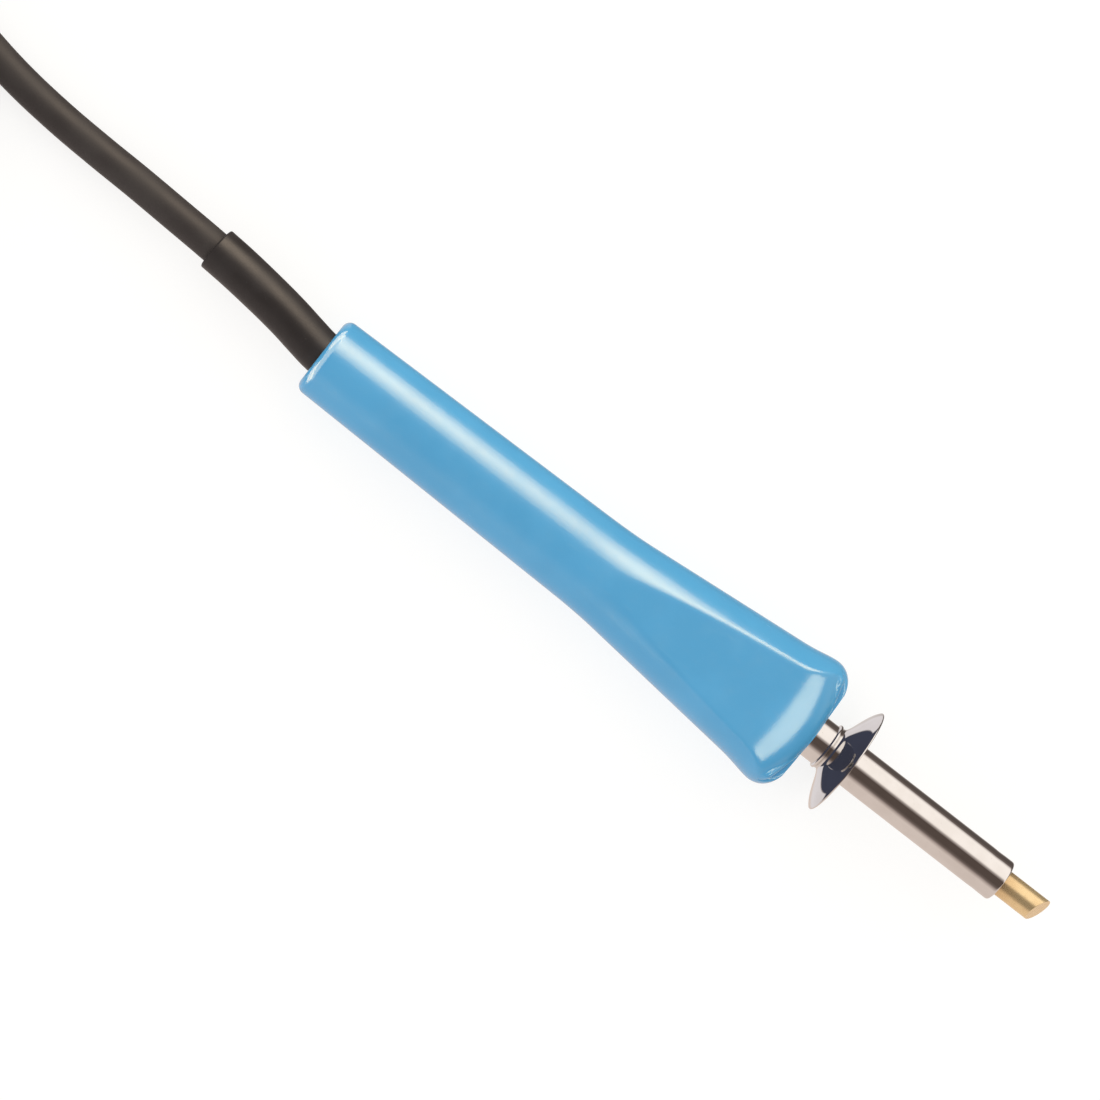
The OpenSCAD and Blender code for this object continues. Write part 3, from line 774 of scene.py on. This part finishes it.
def glass_sleeving():
    """Braided glass sleeving."""
    made, shader, n, place = material("glass_sleeving_braid", specular=0.3)
    parts = n.add("ShaderNodeSeparateXYZ", {0: place})
    one = n.math("ADD", parts.outputs[0], parts.outputs[2])
    two = n.math("SUBTRACT", parts.outputs[0], parts.outputs[2])
    braid = n.math("MULTIPLY", n.math("SINE", n.math("MULTIPLY", one, 2 * pi / 0.0005)),
                   n.math("SINE", n.math("MULTIPLY", two, 2 * pi / 0.0005)))
    n.set(shader, "Base Color", n.mix(n.span(braid, -1, 1), rgba(0.62, 0.60, 0.55),
                                      rgba(0.84, 0.82, 0.78)))
    shader.inputs["Roughness"].default_value = 0.75
    n.set(shader, "Normal", n.bump(braid, 0.00006, 0.6))
    return made


def make_finishes():
    return {
        "handle_plastic": handle_plastic(),
        "bush": bush_moulding(),
        "steel": metal("plain_steel", rgba(0.66, 0.65, 0.64), rgba(0.50, 0.49, 0.47), 0.28),
        "chrome": chrome(),
        "mica": mineral("mica_sheet", rgba(0.62, 0.50, 0.32), rgba(0.42, 0.32, 0.18), 0.3, 900),
        "resistance_wire": metal("resistance_wire_grey", rgba(0.36, 0.34, 0.33),
                                 rgba(0.20, 0.19, 0.19), 0.4),
        "ceramic": mineral("unglazed_ceramic", rgba(0.84, 0.81, 0.73), rgba(0.70, 0.66, 0.57), 0.6),
        "glass_sleeving": glass_sleeving(),
        "contact_brass": metal("contact_bright_brass", rgba(0.82, 0.63, 0.30),
                               rgba(0.70, 0.50, 0.22), 0.22),
        "live_insulation": insulation("live_brown", rgba(0.10, 0.030, 0.010),
                                      rgba(0.06, 0.018, 0.006)),
        "neutral_insulation": insulation("neutral_blue", rgba(0.015, 0.07, 0.35),
                                         rgba(0.01, 0.045, 0.25)),
        "earth_insulation": insulation("earth_green", rgba(0.06, 0.28, 0.03),
                                       rgba(0.04, 0.2, 0.02)),
        "sleeve_rubber": rubber("sleeve_satin_rubber", rgba(0.030, 0.024, 0.023),
                                rgba(0.040, 0.033, 0.032), 0.36, 0.24),
        "tip_plating": tip_plating(),
        "cord_rubber": rubber("cord_matt_rubber", rgba(0.045, 0.036, 0.034),
                              rgba(0.056, 0.046, 0.043), 0.5, 0.22),
        "tie_strap": tie_strap(),
        "plug_plastic": plug_vinyl(),
    }


# ---- Table and light ----

def add_table():
    mesh = bpy.data.meshes.new("table")
    size = 6
    mesh.from_pydata([(-size, -size, 0), (size, -size, 0), (size, size, 0), (-size, size, 0)], [],
                     [(0, 1, 2, 3)])
    table = bpy.data.objects.new("table", mesh)
    bpy.context.collection.objects.link(table)
    made, shader, n, place = material("table_pale", specular=0.1)
    tone = n.noise(place, 30, 3)
    n.set(shader, "Base Color", n.mix(tone, rgba(0.24, 0.238, 0.236), rgba(0.26, 0.258, 0.256)))
    shader.inputs["Roughness"].default_value = 0.9
    shader.inputs["Emission Color"].default_value = rgba(1.0, 0.99, 0.98)
    shader.inputs["Emission Strength"].default_value = 0.795
    mesh.materials.append(made)
    table.visible_glossy = False


# What a bright part mirrors: the angle round the iron from straight up towards +Y, and the colour
ROUND_THE_IRON = [(-180, 0.74, 0.63, 0.57), (-66, 0.74, 0.63, 0.57), (-54, 0.50, 0.41, 0.37),
                  (-42, 0.17, 0.13, 0.115), (-30, 0.10, 0.074, 0.063), (3, 0.10, 0.074, 0.063),
                  (12, 0.45, 0.39, 0.36), (20, 1.06, 0.97, 0.90), (26, 1.13, 1.045, 0.975),
                  (80, 1.13, 1.045, 0.975), (88, 0.86, 0.78, 0.73), (98, 0.17, 0.135, 0.12),
                  (116, 0.10, 0.08, 0.072), (146, 0.12, 0.10, 0.09), (162, 0.50, 0.45, 0.43),
                  (180, 0.80, 0.75, 0.72)]
# The colour of the softly scattered light that comes from there
SOFT_LIGHT = [(-180, 1.1, 1.1, 1.08), (-110, 1.25, 1.25, 1.2), (-75, 1.25, 1.25, 1.2),
              (-45, 0.85, 0.85, 0.84), (-15, 0.85, 0.85, 0.85), (10, 1.08, 1.08, 1.07),
              (45, 1.36, 1.36, 1.28), (80, 1.70, 1.70, 1.46), (110, 1.4, 1.40, 1.30),
              (150, 1.1, 1.1, 1.08), (180, 1.1, 1.1, 1.08)]
# What the shield's back mirrors: the handle's shaded front, and the table beside it
BEHIND = (0.05, 0.055, 0.085)
BESIDE = (0.80, 0.755, 0.765)
# A ray from the shield's back passes the handle's front, and meets the table, where the sum of
# its sideways part, EDGE_UP times its upward part and EDGE_ALONG times its forward part is positive
EDGE_UP, EDGE_ALONG = -0.218, 0.74


def ramp(nodes, value, stops):
    """A colour ramp over a full turn, from stops of an angle and a colour."""
    node = nodes.add("ShaderNodeValToRGB", {"Fac": value})
    elements = node.color_ramp.elements
    for i, (angle, *tone) in enumerate(stops):
        at = angle / 360 + 0.5
        element = elements[i] if i < 2 else elements.new(at)
        element.position = at
        element.color = rgba(*tone)
    return node.outputs["Color"]


def add_light():
    """Even soft light all round; mirror-like parts see bright sides and dark gaps."""
    world = bpy.data.worlds.new("studio")
    bpy.context.scene.world = world
    world.use_nodes = True
    tree = world.node_tree
    tree.nodes.clear()
    n = Nodes(tree)
    way = n.add("ShaderNodeTexCoord").outputs["Generated"]

    def along(axis):
        return n.add("ShaderNodeVectorMath", {0: way, 1: tuple(axis)},
                     operation="DOT_PRODUCT").outputs["Value"]

    turn = n.math("ARCTAN2", along((0, 1, 0)), along(UP))
    tilt = n.math("ARCSINE", along(AXIS))
    share = n.math("MULTIPLY_ADD", turn, 1 / (2 * pi), 0.5)
    around = ramp(n, share, ROUND_THE_IRON)
    aside = n.math("MULTIPLY_ADD", along(UP), EDGE_UP, n.math("ABSOLUTE", along((0, 1, 0))))
    aside = n.math("MULTIPLY_ADD", along(AXIS), EDGE_ALONG, aside)
    beside = n.math("MULTIPLY", n.span(aside, -0.02, 0.02), n.span(along(UP), -0.52, -0.44, 1, 0))
    seen = n.mix(n.math("MULTIPLY", beside, n.span(tilt, radians(-16), radians(-7), 1, 0)),
                 around, rgba(*BESIDE))
    behind = n.math("SUBTRACT", 1.0, beside)
    behind = n.math("MULTIPLY", behind, n.span(tilt, radians(-33), radians(-27), 1, 0))
    seen = n.mix(behind, seen, rgba(*BEHIND))
    mirrored = n.add("ShaderNodeBackground", {"Color": seen, "Strength": 1.0}).outputs[0]
    soft = n.span(tilt, radians(15), radians(65), 1.0, 0.5)
    scattered = ramp(n, share, SOFT_LIGHT)
    even = n.add("ShaderNodeBackground", {"Color": scattered, "Strength": soft}).outputs[0]
    glossy = n.add("ShaderNodeLightPath").outputs["Is Glossy Ray"]
    both = n.add("ShaderNodeMixShader", {0: glossy, 1: even, 2: mirrored}).outputs[0]
    n.add("ShaderNodeOutputWorld", {"Surface": both})
    world.cycles.sampling_method = "NONE"
    bpy.context.scene.view_settings.view_transform = "Standard"


def add_box(name, receivers, spot, tilt, depth, turn, width, power,
            distance=2.0, tone=(1, 1, 1)):
    """Softbox beside the iron, square to the line to a spot, seen only in the receivers' gloss."""
    level = cos(radians(turn)) * UP + sin(radians(turn)) * Vector((0, 1, 0))
    way = cos(radians(tilt)) * level + sin(radians(tilt)) * AXIS
    across = way.cross(AXIS).normalized()
    data = bpy.data.lights.new(name, "AREA")
    data.shape = "RECTANGLE"
    data.size, data.size_y = (2 * distance * tan(radians(a / 2)) for a in (width, depth))
    data.energy = power * 4 * data.size * data.size_y
    data.color = tone
    box = bpy.data.objects.new(name, data)
    box.matrix_world = Matrix.Translation(IRON @ Vector((spot, 0, 8)) + distance * way) @ Matrix(
        (across, way.cross(across), way)).transposed().to_4x4()
    bpy.context.collection.objects.link(box)
    box.visible_diffuse = box.visible_camera = False
    box.light_linking.receiver_collection = receivers


def add_boxes(name, pieces, lamps):
    receivers = bpy.data.collections.new(name)
    for piece in pieces:
        receivers.objects.link(piece)
    for lamp, *place in lamps:
        add_box(lamp, receivers, *place)


WARM = (1.0, 0.82, 0.62)
# Each softbox: its name, the spot on the iron that it faces, its tilt along the iron, its depth
# that way, its turn round the iron and its width, all angles in degrees, then its power, distance
# in metres and colour
HANDLE_BOXES = [("front_box_near", 103, 23.2, 13.5, 0, 29, 7.0),
                ("front_box_far", 103, 38.7, 17.5, 0, 22, 7.0),
                ("rear_box", 0, -48, 60, 0, 150, 5.5, 2.0, WARM),
                ("rear_box_left", 0, -48, 60, 88, 36, 8.5, 2.0, WARM),
                ("rear_box_right", 0, -48, 60, -88, 36, 8.5, 2.0, WARM)]
LONG_BOXES = [("long_box_wide", 30, -5.8, 20.4, 53, 56, 4.4, 6.0, WARM),
              ("long_box", 30, -5.8, 20.4, 53, 34, 3.4, 5.8, WARM),
              ("long_box_core", 30, -5.8, 20.4, 53, 14, 2.6, 5.6, WARM)]


# ---- Assembly ----

def finish_piece(piece, slot, body, finishes, *nodes):
    piece.data.materials.clear()
    piece.data.materials.append(finishes[slot])
    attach(piece, body)
    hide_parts(*nodes)
    return piece


def main():
    add_camera()
    finishes = make_finishes()

    def put(piece, slot, *nodes, body="iron"):
        return finish_piece(piece, slot, body, finishes, *nodes)

    cord = put(add_cord(), "cord_rubber", "cord", "cord_hank", "cord_end")
    on_cord = [put(add_tie(), "tie_strap", "hank_tie"),
               put(add_plug_body(), "plug_plastic", "plug_body", "plug_bridge"),
               put(add_plug_relief(), "plug_plastic", "plug_body"),
               put(add_blade(-1, "plug_blade_one"), "contact_brass", "plug_blades"),
               put(add_blade(1, "plug_blade_two"), "contact_brass", "plug_blades"),
               put(add_earth_pin(), "contact_brass", "plug_earth_pin")]

    handle = put(add_handle(), "handle_plastic", "handle")
    bush = put(add_bush(), "bush", "front_bush")
    handle.visible_glossy = bush.visible_glossy = False
    put(add_barrel(), "chrome", "barrel_tube")
    put(add_shield(), "chrome", "heat_shield")
    sleeve = put(add_sleeve(), "sleeve_rubber", "cord_sleeve")
    add_boxes("lit_by_front_and_rear", [handle], HANDLE_BOXES)
    add_boxes("lit_along", [handle, sleeve, cord] + on_cord, LONG_BOXES)
    put(add_tip(), "tip_plating", "tip", body="tip")

    slots = {part["node"]: part["material_slot"] for part in frame["record"]["subparts"]}
    for name, node in frame["nodes"].items():
        if not node.hide_render:
            node.data.materials.clear()
            node.data.materials.append(finishes[slots[name]])

    add_table()
    add_light()


main()
